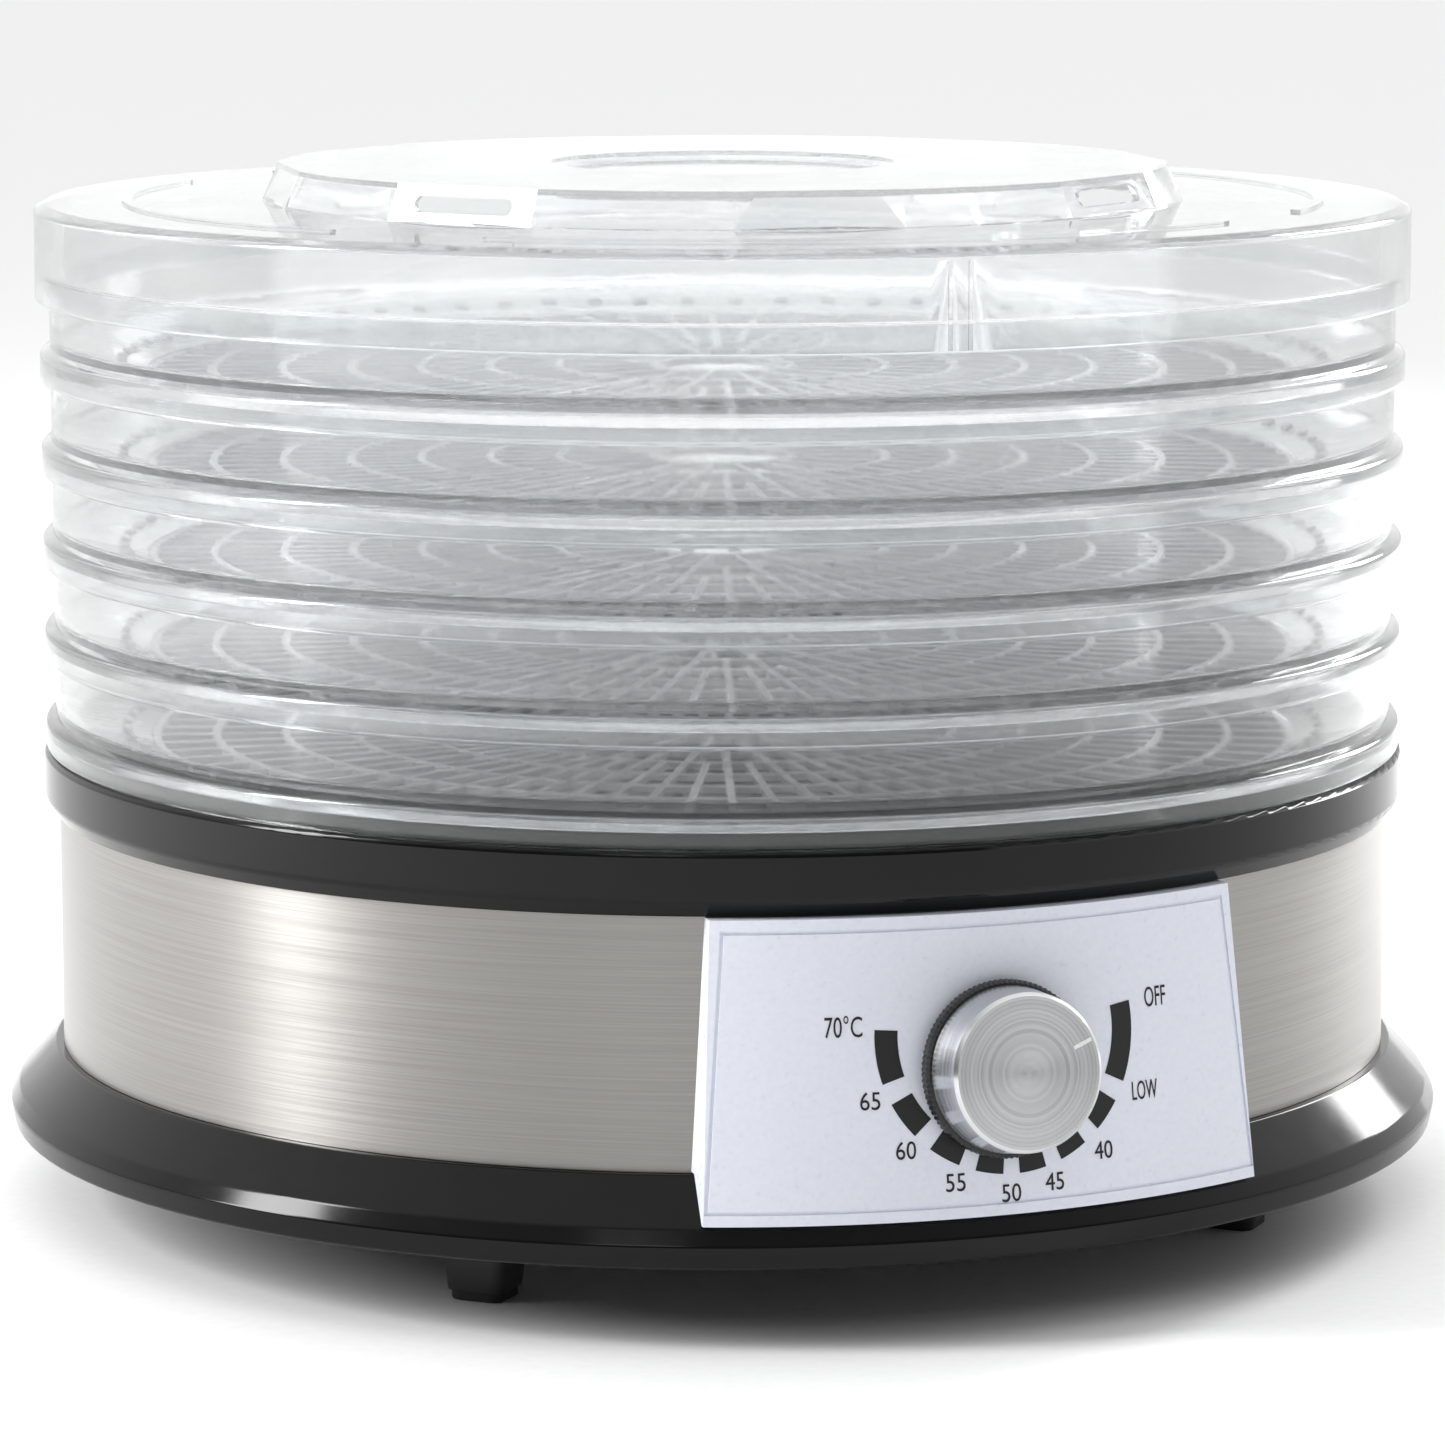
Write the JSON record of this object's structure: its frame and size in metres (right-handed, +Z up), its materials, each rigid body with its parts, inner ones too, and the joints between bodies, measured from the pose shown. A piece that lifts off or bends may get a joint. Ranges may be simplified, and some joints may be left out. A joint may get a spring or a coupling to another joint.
{
  "type": "food dehydrator",
  "caption": "Round electric food dehydrator with stacked clear trays, domed clear lid, brushed-steel fan base and a front temperature dial.",
  "frame": {"origin": "middle of the footprint's box, knob included, on the worktop under the foot pads; the trays' common axis stands 5 mm behind it, at Y = +0.005", "axes": "+Z up the stack, -Y towards the control panel at the front, +X to the right of somebody facing the panel"},
  "size_m": [0.3338, 0.3456, 0.239],
  "materials": {
    "clear_plastic": "clear moulded polystyrene, polished",
    "black_abs": "gloss moulded",
    "black_abs_matt": "fine spark texture",
    "white_abs": "satin moulded",
    "brushed_stainless": "brushed round the band",
    "black_knob": "fine knurl",
    "spun_aluminium": "spun rings, bright chamfer",
    "zinc_steel": "zinc plated",
    "lamination_steel": "stacked laminations",
    "copper_coil": "enamelled winding",
    "brass_parts": "turned",
    "mica_board": "pressed mica",
    "nichrome_wire": "oxidised wire",
    "ceramic_white": "unglazed",
    "grey_phenolic": "moulded",
    "silicone_lead": "soft sleeve",
    "black_rubber": "moulded"
  },
  "bodies": {
    "base": {"base_skirt": "black_abs", "bottom_cover": "black_abs_matt", "foot_screws": "zinc_steel", "foot_front_left": "black_abs_matt", "foot_front_right": "black_abs_matt", "foot_rear_right": "black_abs_matt", "foot_rear_left": "black_abs_matt", "foot_pad_front_left": "black_rubber", "foot_pad_front_right": "black_rubber", "foot_pad_rear_right": "black_rubber", "foot_pad_rear_left": "black_rubber", "steel_band": "brushed_stainless", "steel_band_rear": "brushed_stainless", "inlet_grommet": "black_rubber", "upper_ring": "black_abs", "air_deck": "black_abs_matt", "outlet_grille": "black_abs_matt", "control_panel": "white_abs", "thermostat_body": "grey_phenolic", "thermostat_bracket": "zinc_steel", "thermostat_nut": "brass_parts", "bracket_screws": "zinc_steel", "motor_stator": "lamination_steel", "motor_coil": "copper_coil", "motor_bracket_lower": "zinc_steel", "motor_bracket_upper": "zinc_steel", "bearing_lower": "brass_parts", "bearing_upper": "brass_parts", "heater_duct": "zinc_steel", "heater_frame": "mica_board", "heater_element": "nichrome_wire", "thermal_fuse": "ceramic_white", "terminal_block": "ceramic_white", "motor_lead": "silicone_lead", "heater_lead": "silicone_lead", "thermostat_lead": "silicone_lead"},
    "knob": {"knob_skirt": "black_knob", "knob_cap": "spun_aluminium", "thermostat_spindle": "brass_parts"},
    "fan": {"motor_rotor": "lamination_steel", "motor_shaft": "zinc_steel", "fan_impeller": "black_abs_matt", "fan_clip": "zinc_steel"},
    "tray_1": {"tray_1": "clear_plastic", "tray_1_grid": "clear_plastic"},
    "tray_2": {"tray_2": "clear_plastic", "tray_2_grid": "clear_plastic"},
    "tray_3": {"tray_3": "clear_plastic", "tray_3_grid": "clear_plastic"},
    "tray_4": {"tray_4": "clear_plastic", "tray_4_grid": "clear_plastic"},
    "tray_5": {"tray_5": "clear_plastic", "tray_5_grid": "clear_plastic"},
    "lid": {"lid": "clear_plastic"}
  },
  "joints": [
    {"name": "knob_turn", "type": "hinge", "parent": "base", "child": "knob", "pos_m": [0, -0.15762, 0.05825], "axis": [0, 0.9926, -0.1215], "range_deg": [0, 222]},
    {"name": "fan_spin", "type": "hinge", "parent": "base", "child": "fan", "pos_m": [0, 0.005, 0.07], "axis": [0, 0, 1], "continuous": true},
    {"name": "tray_1_lift", "type": "slide", "parent": "base", "child": "tray_1", "axis": [0, 0, 1], "range_m": [0, 0.045]},
    {"name": "tray_2_lift", "type": "slide", "parent": "tray_1", "child": "tray_2", "axis": [0, 0, 1], "range_m": [0, 0.045]},
    {"name": "tray_3_lift", "type": "slide", "parent": "tray_2", "child": "tray_3", "axis": [0, 0, 1], "range_m": [0, 0.045]},
    {"name": "tray_4_lift", "type": "slide", "parent": "tray_3", "child": "tray_4", "axis": [0, 0, 1], "range_m": [0, 0.045]},
    {"name": "tray_5_lift", "type": "slide", "parent": "tray_4", "child": "tray_5", "axis": [0, 0, 1], "range_m": [0, 0.045]},
    {"name": "lid_lift", "type": "slide", "parent": "tray_5", "child": "lid", "axis": [0, 0, 1], "range_m": [0, 0.045]}
  ]
}
